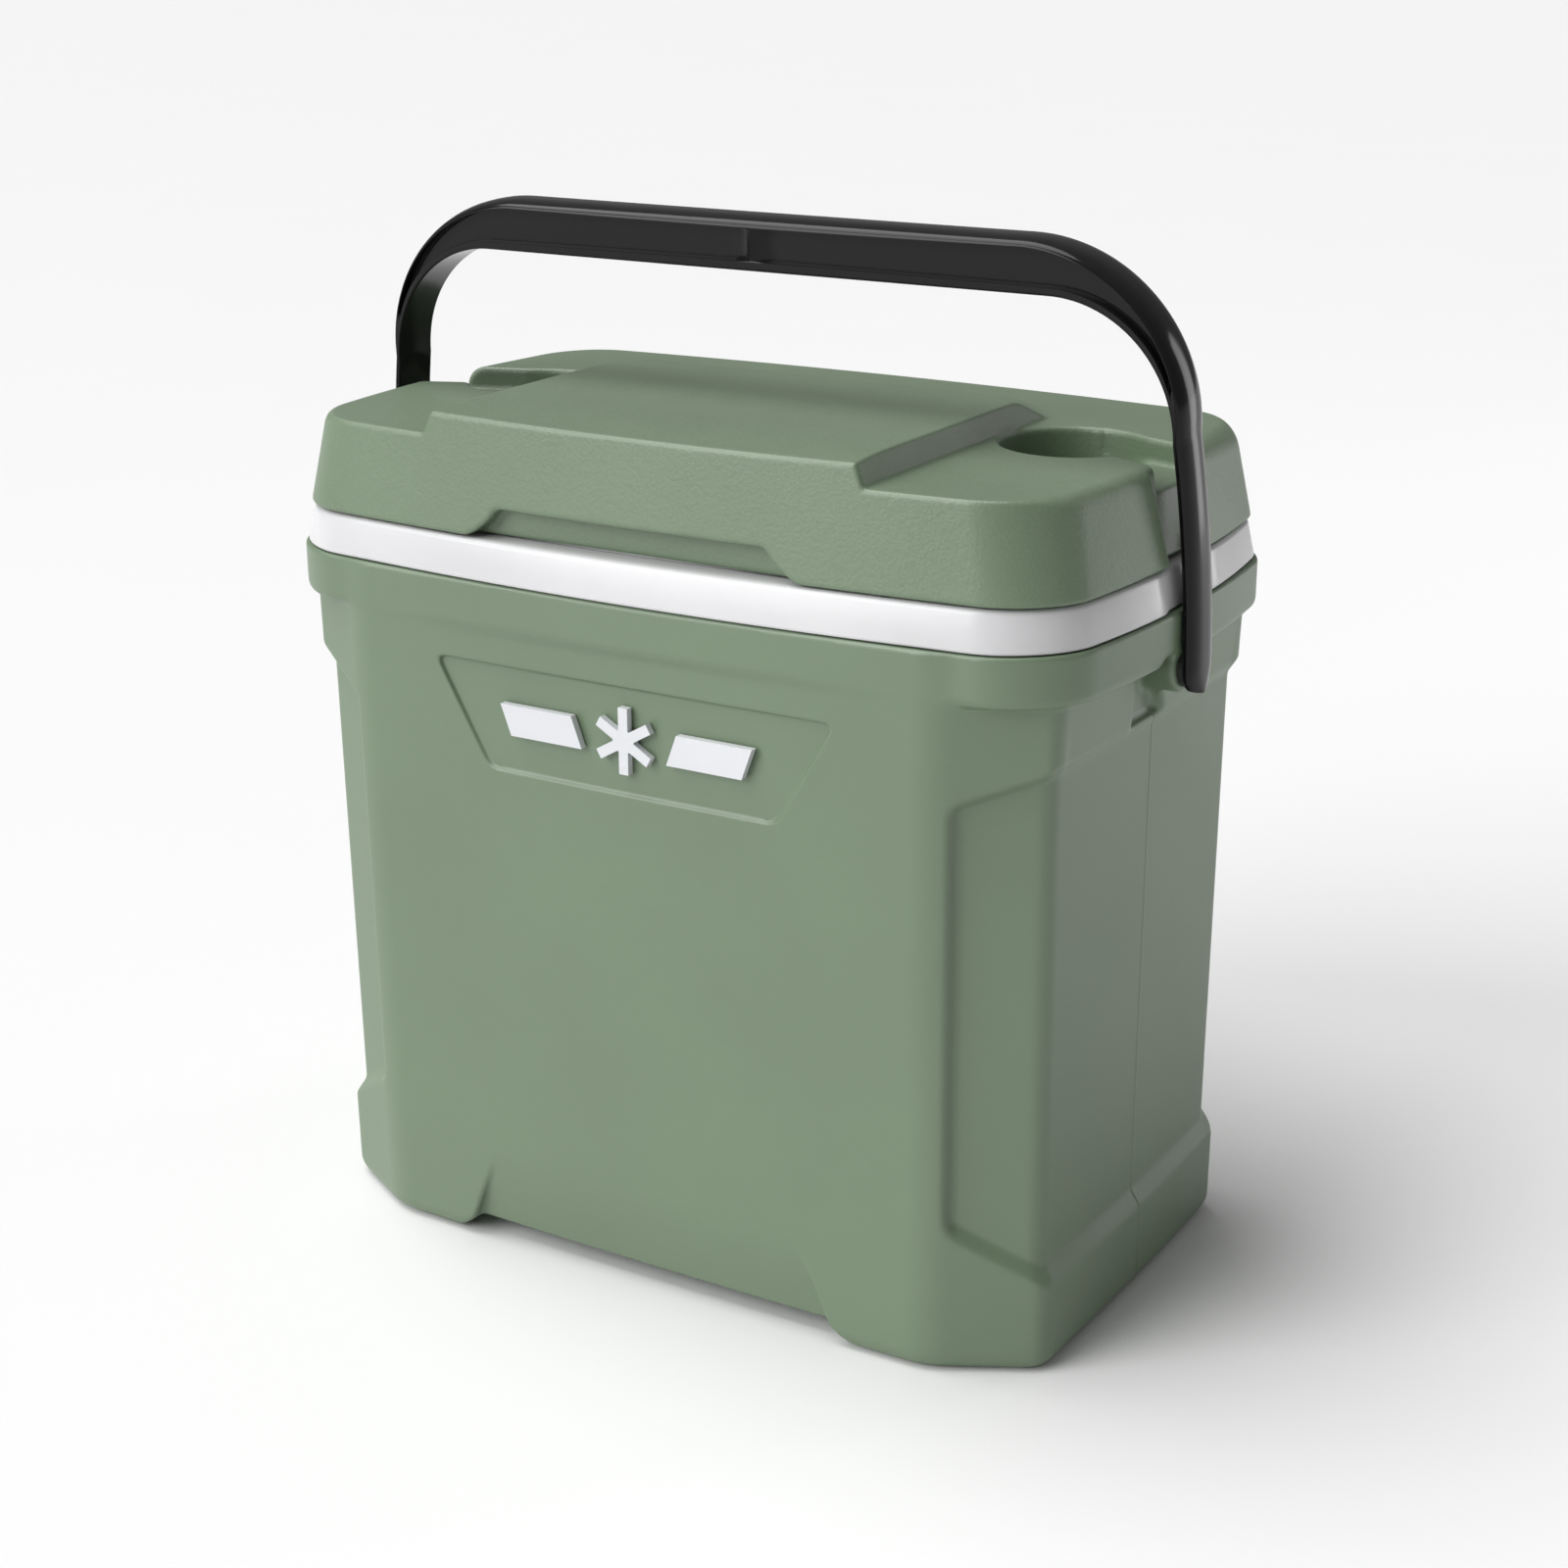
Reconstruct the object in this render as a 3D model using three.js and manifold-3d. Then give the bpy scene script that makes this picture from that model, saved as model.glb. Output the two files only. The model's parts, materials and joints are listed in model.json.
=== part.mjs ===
// Hard-sided picnic cooler with a hinged lid, two cup holders and a swing-up bail handle.
// Units are millimetres. X runs along the long side, the front faces -Y and Z is up.
// Every solid is modelled about the middle of the tub. The whole group is then moved
// forwards a little, so that the origin is under the centre of the object's own box.

import * as THREE from 'three';
import { mergeVertices } from 'three/addons/utils/BufferGeometryUtils.js';
import Module from 'manifold-3d';

const wasm = await Module();
wasm.setup();

// Driving dimensions

const gap = 0.3;                 // clearance between neighbouring pieces
const running = 0.08;            // radial clearance of a pin in its bore
const shell = 3;                 // moulded wall of the body and lid shells
const skin = 2.5;                // moulded wall of the white liners

const rim = {                    // rim band, moulded in one with the tub liner
  lowX: 233.8, lowY: 143.5, lowZ: 372.5,
  topX: 230.8, topY: 138.8, topZ: 392.5,
  corner: 39, bowX: 13.7, bowY: 14.5,
};
const body = {
  footX: 215.5, footY: 130.5, baseX: 220.5, baseY: 135, neckX: 222, neckY: 139,
  facetX: 52, facetY: 28, bowX: 4, bowY: 4,
  collarX: 234.4, collarY: 142.6, collarLow: 349, collarTop: 372,
  archHalf: 112, archFoot: 12, archZ: 10,
  recess: 5.5, lowFront: 87, lowEnd: 50, highFront: 290, highEnd: 314,
  toeHalf: 98, toeZ: 47, toeDepth: 5,
};
const tub = {                    // inside faces of the liner
  floorZ: 48, lowX: 184, lowY: 107, topX: 190, topY: 113, corner: 34,
};
const lid = {
  lowZ: 393.6, deckZ: 440.5, panelZ: 453,
  lowX: 230.6, lowY: 138.4, crestX: 221.5, crestY: 133,
  panelHalf: 122, panelRamp: 7, panelBack: 84,
  cupX: 162, cupY: 16, cupR: 36, cupZ: 413, notchZ: 428,
  channelX: 222.5, channelLow: 17.5, channelHigh: 25,
  gripHalf: 78, gripRamp: 17, gripZ: 408.7, gripDepth: 11.5,
};
const plug = { x: 183, y: 106, lowZ: 370, topZ: 399, corner: 28 };
const pivot = { z: 343, pinR: 5, bushR: 12, flangeR: 15 };
const bail = {
  width: 28, footX: 236.2, thick: 6.6, tipR: 14, leanDeg: 2.4,
  topZ: 543, barThick: 26.5, outerX: 146.5, outerR: 88, innerX: 163.3, innerR: 65,
  lip: 4.2, pocketDepth: 5.5, pocketEndZ: 482, ribHalf: 1.5,
};
const hinge = {
  x: 105, half: 22, y: 146.2, z: 393, knuckleR: 4.3, pinR: 2, leaf: 1.5,
  lowZ: 353, highZ: 427, screwDX: 13, shankR: 1.8, headR: 3.6, grip: 6,
};
const plaque = { topHalf: 116.5, lowHalf: 84.5, topZ: 330, lowZ: 275, corner: 7 };
const badge = { z: 303.5, thick: 4.5, starR: 17, armHalf: 2.7, barNear: 25, barFar: 74, barHalf: 8 };
const rearShift = (hinge.y + hinge.knuckleR - rim.lowY) / 2;

// Finishes

const finishes = {
  sage: { color: 0x71886d, roughness: 0.45, metalness: 0 },
  foam: { color: 0xd9cfa6, roughness: 0.95, metalness: 0 },
  white: { color: 0xdcdcde, roughness: 0.25, metalness: 0 },
  black: { color: 0x141315, roughness: 0.2, metalness: 0 },
  bush: { color: 0x2a2a2c, roughness: 0.5, metalness: 0 },
  steel: { color: 0xb4b6b8, roughness: 0.3, metalness: 1 },
};

// Solids from three.js geometry

function solidOf(geometry) {
  const bare = geometry.clone();
  bare.deleteAttribute('normal');
  bare.deleteAttribute('uv');
  const merged = mergeVertices(bare, 1e-4);
  const corners = merged.index.array;
  const triangles = [];
  for (let i = 0; i < corners.length; i += 3) {
    const [a, b, c] = [corners[i], corners[i + 1], corners[i + 2]];
    if (a !== b && b !== c && c !== a) triangles.push(a, b, c);
  }
  return new wasm.Manifold(new wasm.Mesh({
    numProp: 3,
    vertProperties: new Float32Array(merged.attributes.position.array),
    triVerts: new Uint32Array(triangles),
  }));
}

function geometryOf(solid) {
  const { vertProperties, triVerts } = solid.getMesh();
  const geometry = new THREE.BufferGeometry();
  geometry.setAttribute('position', new THREE.BufferAttribute(vertProperties, 3));
  geometry.setIndex(new THREE.BufferAttribute(triVerts, 1));
  geometry.computeVertexNormals();
  return geometry;
}

function block(x0, x1, y0, y1, z0, z1) {
  const box = new THREE.BoxGeometry(x1 - x0, y1 - y0, z1 - z0);
  return solidOf(box.translate((x0 + x1) / 2, (y0 + y1) / 2, (z0 + z1) / 2));
}

function rodX(radius, x0, x1, y, z, sides = 24) {
  const rod = new THREE.CylinderGeometry(radius, radius, x1 - x0, sides);
  return solidOf(rod.rotateZ(Math.PI / 2).translate((x0 + x1) / 2, y, z));
}

function rodY(radius, y0, y1, x, z, sides = 16) {
  const rod = new THREE.CylinderGeometry(radius, radius, y1 - y0, sides);
  return solidOf(rod.translate(x, (y0 + y1) / 2, z));
}

function rodZ(radius, z0, z1, x, y, sides = 48) {
  const rod = new THREE.CylinderGeometry(radius, radius, z1 - z0, sides);
  return solidOf(rod.rotateX(Math.PI / 2).translate(x, y, (z0 + z1) / 2));
}

function extruded(points, depth) {
  const outline = new THREE.Shape(points.map(([u, v]) => new THREE.Vector2(u, v)));
  return new THREE.ExtrudeGeometry(outline, { depth, bevelEnabled: false });
}

// Prisms of an outline drawn in X and Y, in X and Z, and in Y and Z.
const prismZ = (points, z0, z1) => solidOf(extruded(points, z1 - z0).translate(0, 0, z0));
const prismY = (points, y0, y1) => (
  solidOf(extruded(points, y1 - y0).rotateX(Math.PI / 2).translate(0, y1, 0)));
const prismX = (points, x0, x1) => (
  solidOf(extruded(points, x1 - x0).rotateX(Math.PI / 2).rotateZ(Math.PI / 2).translate(x0, 0, 0)));

const mirrorX = (points) => points.map(([u, v]) => [-u, v]).reverse();
const joined = (solids) => solids.reduce((all, next) => all.add(next));

// Plans: closed outlines seen from above, all with the same number of points.
// A corner is a list of insets [dx, dy] from the square corner, from the front round to the end.

const sideSteps = 8;
const cornerSteps = 6;

function roundCorner(radius) {
  return Array.from({ length: cornerSteps + 1 }, (_, i) => {
    const turn = (i / cornerSteps) * (Math.PI / 2);
    return [radius * (1 - Math.sin(turn)), radius * (1 - Math.cos(turn))];
  });
}

function facetCorner(dx, dy) {
  const fold = 7 / Math.hypot(dx, dy);
  return [
    [dx + 7, 0], [dx + 0.2, 1.2], [dx * (1 - fold), dy * fold],
    [dx / 2, dy / 2],
    [dx * fold, dy * (1 - fold)], [1.2, dy + 0.2], [0, dy + 7],
  ];
}

function planOf(halfX, halfY, corner, bowX = 0, bowY = 0) {
  const frontRight = corner.map(([dx, dy]) => [halfX - dx, dy - halfY]);
  const backRight = frontRight.map(([x, y]) => [x, -y]).reverse();
  const backLeft = frontRight.map(([x, y]) => [-x, -y]);
  const frontLeft = backLeft.map(([x, y]) => [x, -y]).reverse();
  const turns = [frontRight, backRight, backLeft, frontLeft];
  const points = turns.flatMap((turn, i) => {
    const [x0, y0] = turns[(i + 3) % 4][cornerSteps];
    const side = Array.from({ length: sideSteps - 1 }, (_, k) => {
      const t = (k + 1) / sideSteps;
      return [x0 + (turn[0][0] - x0) * t, y0 + (turn[0][1] - y0) * t];
    });
    return [...side, ...turn];
  });
  return points.map(([x, y]) => [
    x * (1 - (bowX / halfX) * (y / halfY) ** 2),
    y * (1 - (bowY / halfY) * (x / halfX) ** 2),
  ]);
}

const level = (plan, z) => plan.map(([x, y]) => [x, y, z]);

function loft(rings) {
  const count = rings[0].length;
  const index = [];
  for (let r = 0; r + 1 < rings.length; r += 1) {
    for (let i = 0; i < count; i += 1) {
      const a = r * count + i;
      const b = r * count + ((i + 1) % count);
      index.push(a, b, b + count, a, b + count, a + count);
    }
  }
  const top = (rings.length - 1) * count;
  const flat = (ring) => ring.map(([x, y]) => new THREE.Vector2(x, y));
  for (const [a, b, c] of THREE.ShapeUtils.triangulateShape(flat(rings[0]), [])) index.push(a, c, b);
  for (const [a, b, c] of THREE.ShapeUtils.triangulateShape(flat(rings[rings.length - 1]), [])) {
    index.push(top + a, top + b, top + c);
  }
  const geometry = new THREE.BufferGeometry();
  geometry.setAttribute('position', new THREE.Float32BufferAttribute(rings.flat(2), 3));
  geometry.setIndex(index);
  return solidOf(geometry);
}

const stack = (levels) => loft(levels.map(([plan, z]) => level(plan, z)));

// Body

const bodyPlan = (halfX, halfY) => (
  planOf(halfX, halfY, facetCorner(body.facetX, body.facetY), body.bowX, body.bowY));
const collarPlan = (inset) => planOf(
  body.collarX - inset, body.collarY - inset, roundCorner(rim.corner - inset), rim.bowX, rim.bowY);

// One level of the outer wall. The recess wraps the facets and the ends, and its edges
// slant across the facets, from the front level to the end level.
function wallRing(z, zFront, zEnd, inset) {
  const rise = (z - 9) / (body.collarLow - 9);
  const halfX = THREE.MathUtils.lerp(body.baseX, body.neckX, rise);
  const halfY = THREE.MathUtils.lerp(body.baseY, body.neckY, rise);
  return bodyPlan(halfX, halfY).map(([x, y]) => {
    const round = THREE.MathUtils.clamp((Math.abs(x) - halfX + body.facetX) / body.facetX, 0, 1);
    const push = inset * THREE.MathUtils.clamp(round * 4.5, 0, 1);
    const tilt = THREE.MathUtils.clamp((Math.abs(y) - halfY + body.facetY) / body.facetY, 0, 1);
    return [
      x - Math.sign(x) * push * (1 - 0.3 * tilt),
      y - Math.sign(y) * push * 0.7 * tilt,
      THREE.MathUtils.lerp(zFront, zEnd, round),
    ];
  });
}

function bodyOuter() {
  const { baseX, baseY, footX, footY, neckX, neckY, collarLow, collarTop } = body;
  return loft([
    level(bodyPlan(footX, footY), 0),
    level(bodyPlan(baseX - 1.5, baseY - 1.5), 4),
    wallRing(9, 10, 10, 0),
    wallRing(body.lowEnd, body.lowFront - 6, body.lowEnd - 4, 0),
    wallRing(body.lowEnd, body.lowFront, body.lowEnd + 3, body.recess),
    wallRing(body.highEnd, body.highFront, body.highEnd, body.recess),
    wallRing(body.highEnd, body.highFront + 7, body.highEnd + 9, 0),
    level(bodyPlan(neckX, neckY), collarLow - 8),
    level(collarPlan(6), collarLow - 4),
    level(collarPlan(1.5), collarLow - 1),
    level(collarPlan(0), collarLow + 3),
    level(collarPlan(0), collarTop),
  ]);
}

// The hollow of the body shell, grown or shrunk by an inset.
function bodyHollow(inset) {
  const { neckX, neckY, collarLow, collarTop, baseX, baseY, recess } = body;
  const wall = shell + inset;
  const lowX = baseX - recess - wall;
  return stack([
    [bodyPlan(lowX, baseY - wall - 1), body.archZ + wall],
    [bodyPlan(lowX + 1, neckY - wall - 3), collarLow - 14],
    [bodyPlan(neckX - wall - 1, neckY - wall), collarLow - 5],
    [collarPlan(wall), collarLow + 3],
    [collarPlan(wall), collarTop + 10],
  ]);
}

const screwSpots = [-1, 1].flatMap((side) => [-1, 1].map((step) => (
  side * hinge.x + step * hinge.screwDX)));
const lowScrewZ = hinge.lowZ + 7;
const highScrewZ = hinge.highZ - 8;
const leafY = hinge.y - hinge.knuckleR;          // inner face of the body leaves
const lidLeafSlope = (lid.lowY - lid.crestY) / (lid.deckZ - lid.lowZ);
const lidLeafY = (z) => lid.lowY - 2.6 - lidLeafSlope * (z - lid.lowZ);

const ends = [['left', -1], ['right', 1]];

function plaqueOutline() {
  const { topHalf, lowHalf, topZ, lowZ, corner } = plaque;
  const cut = corner - 3;
  const right = [
    [lowHalf - cut, lowZ], [lowHalf + cut, lowZ + corner], [topHalf, topZ - cut], [topHalf - cut, topZ],
  ];
  return [...right, ...right.map(([x, z]) => [-x, z]).reverse()];
}

function bodyShell() {
  const { archHalf, archFoot, archZ, toeHalf, toeZ, toeDepth } = body;
  const arch = [
    [-archHalf - archFoot, -1], [archHalf + archFoot, -1], [archHalf, archZ], [-archHalf, archZ],
  ];
  const toe = [[-body.baseY - 5, archZ - 1], [-body.baseY + toeDepth, archZ - 1],
    [-body.baseY - 1, toeZ + 12], [-body.baseY - 5, toeZ + 12]];
  let solid = bodyOuter()
    .subtract(bodyHollow(0))
    .subtract(prismY(arch, -160, 160))
    .subtract(prismX(toe, -toeHalf, toeHalf))
    .subtract(prismX(toe.map(([y, z]) => [-y, z]).reverse(), -toeHalf, toeHalf))
    .subtract(prismY(plaqueOutline(), -150, -body.neckY + 1.9));
  for (const [, side] of ends) {
    const [x0, x1] = [side * (archHalf + 18), side * (body.baseX - 12)].sort((a, b) => a - b);
    const pocket = block(x0, x1, -82, 82, shell, archZ + shell + 1);
    const [p0, p1] = [side * 200, side * 240].sort((a, b) => a - b);
    const well = rodX(pivot.bushR + gap, p0, p1, 0, pivot.z, 32);
    solid = solid.subtract(pocket).subtract(well);
  }
  for (const x of screwSpots) solid = solid.subtract(rodY(hinge.shankR + gap, 120, 150, x, lowScrewZ));
  return solid;
}

// Tub liner with its rim band

const tubPlan = (grow, t) => planOf(
  THREE.MathUtils.lerp(tub.lowX, tub.topX, t) + grow,
  THREE.MathUtils.lerp(tub.lowY, tub.topY, t) + grow,
  roundCorner(tub.corner + grow));

function tubOuter(grow, lowZ, topZ) {
  return stack([
    [tubPlan(grow - 8, 0), lowZ],
    [tubPlan(grow, 0), lowZ + 10],
    [tubPlan(grow, 1), topZ],
  ]);
}

function rimPlan(t, inset) {
  return planOf(
    THREE.MathUtils.lerp(rim.lowX, rim.topX, t) - inset,
    THREE.MathUtils.lerp(rim.lowY, rim.topY, t) - inset,
    roundCorner(rim.corner - inset), rim.bowX, rim.bowY);
}

function tubLiner() {
  const band = stack([[rimPlan(0, 0), rim.lowZ], [rimPlan(0.93, 0), rim.topZ - 1.4],
    [rimPlan(1, 1.2), rim.topZ]]);
  const hollow = stack([[rimPlan(0, shell), rim.lowZ - 1], [rimPlan(1, shell), rim.topZ - shell]]);
  const wall = tubOuter(skin, tub.floorZ - skin, rim.topZ - shell);
  const inside = tubOuter(0, tub.floorZ, rim.topZ + 1);
  const channel = hollow.subtract(tubOuter(skin, rim.lowZ - 20, rim.topZ + 20));
  return band.subtract(channel).add(wall).subtract(inside);
}

function bodyFoam() {
  const { collarTop } = body;
  const neck = stack([[collarPlan(shell + 2), collarTop - 2], [collarPlan(shell + 2), rim.lowZ + 1]]);
  const trim = stack([[rimPlan(0, shell + 1), rim.lowZ + 0.5],
    [rimPlan(1, shell + 1), rim.topZ - shell - gap]]);
  const core = bodyHollow(gap).subtract(block(-300, 300, -200, 200, collarTop - 2, collarTop + 50));
  let solid = joined([core, neck, trim]);
  solid = solid.subtract(tubOuter(skin + gap, tub.floorZ - skin - gap, rim.topZ + 5));
  for (const [, side] of ends) {
    const [x0, x1] = [side * 196, side * 240].sort((a, b) => a - b);
    solid = solid.subtract(rodX(pivot.flangeR + gap, x0, x1, 0, pivot.z, 24));
  }
  for (const x of screwSpots) solid = solid.subtract(rodY(hinge.shankR + 0.8, 120, 150, x, lowScrewZ));
  return solid;
}

// Lid

function lidPlan(t, inset) {
  return planOf(
    THREE.MathUtils.lerp(lid.lowX, lid.crestX, t) - inset,
    THREE.MathUtils.lerp(lid.lowY, lid.crestY, t) - inset,
    roundCorner(rim.corner - 2 - inset), rim.bowX, rim.bowY);
}

function raisedPanel(drop, inset) {
  const { panelHalf, panelRamp, panelBack, panelZ, deckZ, crestY } = lid;
  const plan = (halfX, front, back) => {
    const bow = (x) => rim.bowY * (x / rim.lowX) ** 2;
    const steps = Array.from({ length: 9 }, (_, i) => -halfX + (2 * halfX * i) / 8);
    return [
      ...steps.map((x) => [x, front + bow(x)]),
      [halfX, back - 12], [halfX - 12, back], [12 - halfX, back], [-halfX, back - 12],
    ];
  };
  const [far, near] = [panelBack - inset, inset - crestY];
  return stack([
    [plan(panelHalf + panelRamp - inset, near + 1, far), deckZ - 12 - drop],
    [plan(panelHalf + panelRamp - inset, near + 1, far), deckZ - drop],
    [plan(panelHalf + 2 - inset, near + 2.5, far - 12), panelZ - 2.5 - drop],
    [plan(panelHalf - 2 - inset, near + 24, far - 30), panelZ - drop],
  ]);
}

// Everything that is cut out of the lid, grown by the wall for the hollow behind it.
function lidCuts(wall) {
  const { cupX, cupY, cupR, cupZ, notchZ, channelX, channelLow, channelHigh } = lid;
  const grip = [
    [-lid.gripHalf - lid.gripRamp - wall, lid.lowZ - 8], [lid.gripHalf + lid.gripRamp + wall, lid.lowZ - 8],
    [lid.gripHalf + lid.gripRamp - 2 + wall, lid.lowZ + 2], [lid.gripHalf + wall, lid.gripZ + wall],
    [-lid.gripHalf - wall, lid.gripZ + wall], [-lid.gripHalf - lid.gripRamp + 2 - wall, lid.lowZ + 2],
  ];
  const cuts = [prismY(grip, -160, lid.gripDepth + wall - lid.lowY)];
  const channel = [
    [-channelLow - wall, lid.lowZ - 5], [channelLow + wall, lid.lowZ - 5],
    [channelHigh + wall, 470], [-channelHigh - wall, 470],
  ];
  const notch = [
    [cupX, cupY - cupR + 8 - wall], [200, -6 - wall], [250, -channelHigh - wall],
    [250, cupY + 14 + wall], [cupX, cupY + cupR + wall],
  ];
  for (const [, side] of ends) {
    const outline = side > 0 ? notch : mirrorX(notch);
    const [x0, x1] = [side * (channelX - wall), side * 250].sort((a, b) => a - b);
    cuts.push(
      rodZ(cupR + wall, cupZ - wall, 470, side * cupX, cupY),
      prismZ(outline, notchZ - wall, 470),
      prismX(channel, x0, x1),
    );
  }
  return joined(cuts);
}

function lidHollow(inset) {
  const wall = shell + inset;
  const cavity = stack([
    [lidPlan(0, wall), lid.lowZ - 1 + inset], [lidPlan(0.8, wall), lid.deckZ - 8 - wall],
    [lidPlan(1, wall + 6), lid.deckZ - wall],
  ]);
  return cavity.add(raisedPanel(wall, wall)).subtract(lidCuts(wall));
}

// The flat seat for a hinge leaf, cut into the curved back of the lid.
function leafSeat(x) {
  const [z0, z1] = [lid.lowZ - 1, hinge.highZ + 1];
  const seat = [[lidLeafY(z0) - gap, z0], [150, z0], [150, z1], [lidLeafY(z1) - gap, z1]];
  return prismX(seat, x - hinge.half - 1, x + hinge.half + 1);
}

function lidShell() {
  const outer = stack([
    [lidPlan(0, 0.8), lid.lowZ], [lidPlan(0, 0), lid.lowZ + 1], [lidPlan(0.86, 0), lid.deckZ - 7],
    [lidPlan(1, 1.5), lid.deckZ - 2.4], [lidPlan(1, 6), lid.deckZ - 0.4], [lidPlan(1, 22), lid.deckZ],
  ]);
  let solid = outer.add(raisedPanel(0, 0)).subtract(lidCuts(0)).subtract(lidHollow(0));
  for (const [, side] of ends) solid = solid.subtract(leafSeat(side * hinge.x));
  for (const x of screwSpots) {
    solid = solid.subtract(rodY(hinge.shankR + gap, 112, 150, x, highScrewZ));
  }
  return solid;
}

function lidFoam() {
  const slab = block(-300, 300, -200, 200, plug.topZ + gap, 470);
  let solid = lidHollow(gap).intersect(slab);
  for (const x of screwSpots) {
    solid = solid.subtract(rodY(hinge.shankR + 0.8, 112, 150, x, highScrewZ));
  }
  return solid;
}

// White underside of the lid: a flange inside the skirt and a hollow plug that drops into the tub.
function lidLiner() {
  const skirt = lidPlan(0.2, shell + gap);
  const flange = stack([[skirt, rim.topZ + gap], [skirt, plug.topZ]]);
  const plugPlan = (grow, inset) => planOf(
    plug.x + grow - inset, plug.y + grow - inset, roundCorner(plug.corner + grow));
  const outer = stack([[plugPlan(0, 6), plug.lowZ], [plugPlan(0, 0), plug.lowZ + 8],
    [plugPlan(2, 0), rim.topZ + 1]]);
  const well = stack([[plugPlan(-skin, 6), plug.lowZ + skin], [plugPlan(-skin, 0), plug.lowZ + 8 + skin],
    [plugPlan(-skin, 0), plug.topZ + 1]]);
  return flange.subtract(lidCuts(shell + gap)).add(outer).subtract(well);
}

// Bail handle: two arms, two large corners and a bar, hollowed on both faces between its lips

const armInner = (z) => bail.footX - rim.bowX * ((z - pivot.z) / rim.lowY) ** 2;

// The region under an arch: a quarter circle on each side, standing on the two arms.
function archPrism(centreX, radius, topZ, offset, y0, y1) {
  const centreZ = topZ - radius;
  const arm = [0, 0.25, 0.5, 0.75].map((t) => {
    const z = THREE.MathUtils.lerp(pivot.z, centreZ, t);
    return [armInner(z) + offset, z];
  });
  const turns = Array.from({ length: 13 }, (_, i) => {
    const turn = (i / 12) * (Math.PI / 2);
    return [centreX + radius * Math.cos(turn), centreZ + radius * Math.sin(turn)];
  });
  const right = [...arm, ...turns];
  return prismY([...right, ...mirrorX(right)], y0, y1);
}

function bailHandle() {
  const { thick, topZ, barThick, outerX, outerR, innerX, innerR, lip, pocketDepth, footX } = bail;
  const half = bail.width / 2;
  const frame = (inset, y0, y1) => (
    archPrism(outerX, outerR - inset, topZ - inset, thick - inset, y0, y1)
      .subtract(archPrism(innerX, innerR + inset, topZ - barThick + inset, inset, y0 - 1, y1 + 1)));
  const pocket = frame(lip, half - pocketDepth, half + 5)
    .subtract(block(-300, 300, 0, 100, 300, bail.pocketEndZ))
    .subtract(block(-bail.ribHalf, bail.ribHalf, 0, 100, 300, 600));
  let solid = frame(0, -half, half).subtract(pocket).subtract(pocket.scale([1, -1, 1]));
  for (const [, side] of ends) {
    const [x0, x1] = [side * footX, side * (footX + thick)].sort((a, b) => a - b);
    const [p0, p1] = [side * (footX - 2), side * (footX + thick - 2)].sort((a, b) => a - b);
    solid = solid.add(rodX(bail.tipR, x0, x1, 0, pivot.z, 32));
    solid = solid.subtract(rodX(pivot.pinR + gap, p0, p1, 0, pivot.z));
  }
  return solid.translate([0, 0, -pivot.z]);
}

// Pivot pin, turning with the handle in a flanged bush that is pressed into the body.
function pivotPin(side) {
  const [x0, x1] = [side * 205, side * (bail.footX + bail.thick - 2 - gap)].sort((a, b) => a - b);
  return rodX(pivot.pinR, x0, x1, 0, 0);
}

function pivotBush(side) {
  const [x0, x1] = [side * 210, side * (bail.footX - gap)].sort((a, b) => a - b);
  return rodX(pivot.bushR, x0, x1, 0, pivot.z, 32)
    .subtract(rodX(pivot.pinR + running, x0 - 1, x1 + 1, 0, pivot.z));
}

function pinClip(side) {
  const [x0, x1] = [side * 206.5, side * 208.5].sort((a, b) => a - b);
  return rodX(pivot.pinR + 4.5, x0, x1, 0, 0).subtract(rodX(pivot.pinR + gap, x0 - 1, x1 + 1, 0, 0));
}

// Rear hinges: a leaf screwed to the collar, a leaf screwed to the lid and a pin through both

function knuckle(x, x0, x1) {
  return rodX(hinge.knuckleR, x + x0, x + x1, hinge.y, hinge.z);
}

function bodyLeaf(x) {
  const { half, leaf, lowZ, z } = hinge;
  let solid = block(x - half, x + half, leafY, leafY + leaf, lowZ, z);
  solid = solid.subtract(block(x - 9, x + 9, leafY - 1, leafY + 3, z - 6, z + 1));
  solid = solid.add(knuckle(x, -half, -9.3)).add(knuckle(x, 9.3, half));
  for (const dx of [-hinge.screwDX, hinge.screwDX]) {
    solid = solid.subtract(rodY(hinge.shankR + gap, leafY - 1, leafY + 3, x + dx, lowScrewZ));
  }
  return solid.subtract(rodX(hinge.pinR + running, x - 30, x + 30, hinge.y, hinge.z));
}

function lidLeaf(x) {
  const { half, leaf, highZ, y, z } = hinge;
  const foot = z + 5;
  const plate = [
    [lidLeafY(foot), foot], [y + 1, z + 1], [y + 2.4, z + 2.4], [lidLeafY(foot) + leaf, foot + leaf],
    [lidLeafY(highZ) + leaf, highZ], [lidLeafY(highZ), highZ],
  ];
  const wide = prismX(plate, x - half, x + half)
    .subtract(block(x - half - 1, x - 8.7, leafY - 10, y + 10, z - 10, foot))
    .subtract(block(x + 8.7, x + half + 1, leafY - 10, y + 10, z - 10, foot));
  let solid = wide.add(knuckle(x, -8.7, 8.7));
  for (const dx of [-hinge.screwDX, hinge.screwDX]) {
    solid = solid.subtract(rodY(hinge.shankR + gap, 120, 150, x + dx, highScrewZ));
  }
  return solid.subtract(rodX(hinge.pinR + running, x - 30, x + 30, hinge.y, hinge.z));
}

function hingePin(x) {
  const head = rodX(hinge.pinR + 1, x + hinge.half + gap, x + hinge.half + 1.8, hinge.y, hinge.z);
  return rodX(hinge.pinR, x - hinge.half - 1, x + hinge.half + 1, hinge.y, hinge.z).add(head);
}

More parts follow.
